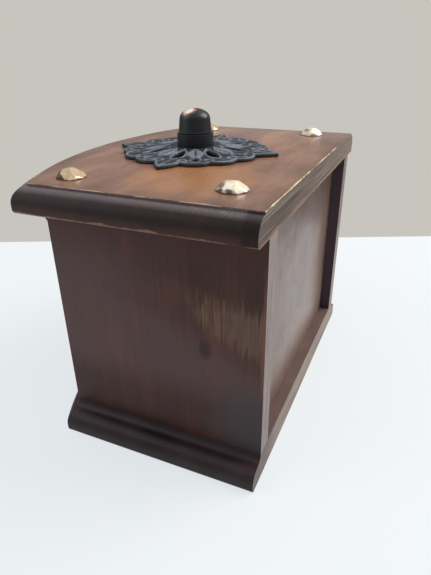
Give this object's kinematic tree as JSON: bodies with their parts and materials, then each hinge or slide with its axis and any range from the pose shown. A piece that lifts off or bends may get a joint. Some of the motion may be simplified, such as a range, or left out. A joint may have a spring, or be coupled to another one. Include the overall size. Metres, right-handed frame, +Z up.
{
  "type": "hand crank coffee grinder",
  "caption": "Bow-fronted wooden box coffee mill with a drawer, brass corner tacks, an iron rosette and a domed cap nut on its spindle.",
  "frame": {"origin": "on the underside of the base board, straight below the spindle", "axes": "+Z up along the spindle, -Y towards the bowed front with the drawer, +X across the case"},
  "size_m": [0.1464, 0.1097, 0.1231],
  "materials": {
    "walnut": "dark brown stain under worn satin varnish",
    "walnut_top": "brown stain under worn satin varnish",
    "panel_wood": "thin brown stain on plywood",
    "plain_wood": "bare wood",
    "brass": "hammered, pale and slightly tarnished",
    "black_iron": "black with greyish wear on the high spots",
    "cast_iron": "as cast, dull",
    "steel": "plain steel"
  },
  "bodies": {
    "case": {"base_board": "walnut", "left_side": "walnut", "right_side": "walnut", "back_panel": "panel_wood", "top_board": "walnut_top", "front_apron": "walnut", "front_bead": "walnut", "base_screws": "steel", "corner_tacks": "brass", "rosette": "black_iron", "collar": "black_iron", "jam_nut": "steel", "hopper": "cast_iron", "hopper_screws": "steel", "ring_burr": "steel", "burr_spring": "steel", "lower_bridge": "cast_iron", "bridge_screws": "steel", "hinge_fixed_leaf": "brass", "hinge_pin": "steel", "filler_chute": "steel", "left_kicker": "plain_wood", "right_kicker": "plain_wood"},
    "spindle_set": {"spindle": "steel", "cap_nut": "black_iron", "cone_burr": "steel"},
    "adjuster": {"adjusting_nut": "brass"},
    "filler_lid": {"filler_flap": "walnut", "flap_knob": "brass", "hinge_flap_leaf": "brass"},
    "drawer": {"drawer_front": "walnut", "drawer_left_side": "plain_wood", "drawer_right_side": "plain_wood", "drawer_back": "plain_wood", "drawer_bottom": "panel_wood", "drawer_knob": "brass", "knob_screw": "steel"}
  },
  "joints": [
    {"name": "spindle_turn", "type": "hinge", "parent": "case", "child": "spindle_set", "pos_m": [0, 0, 0], "axis": [0, 0, 1], "continuous": true},
    {"name": "grind_adjust", "type": "hinge", "parent": "spindle_set", "child": "adjuster", "pos_m": [0, 0, 0], "axis": [0, 0, 1], "range_deg": [-180, 180]},
    {"name": "flap_tilt", "type": "hinge", "parent": "case", "child": "filler_lid", "pos_m": [0, -0.0445, 0.0736], "axis": [1, 0, 0], "range_deg": [0, 75]},
    {"name": "drawer_slide", "type": "slide", "parent": "case", "child": "drawer", "axis": [0, -1, 0], "range_m": [0, 0.06]}
  ]
}
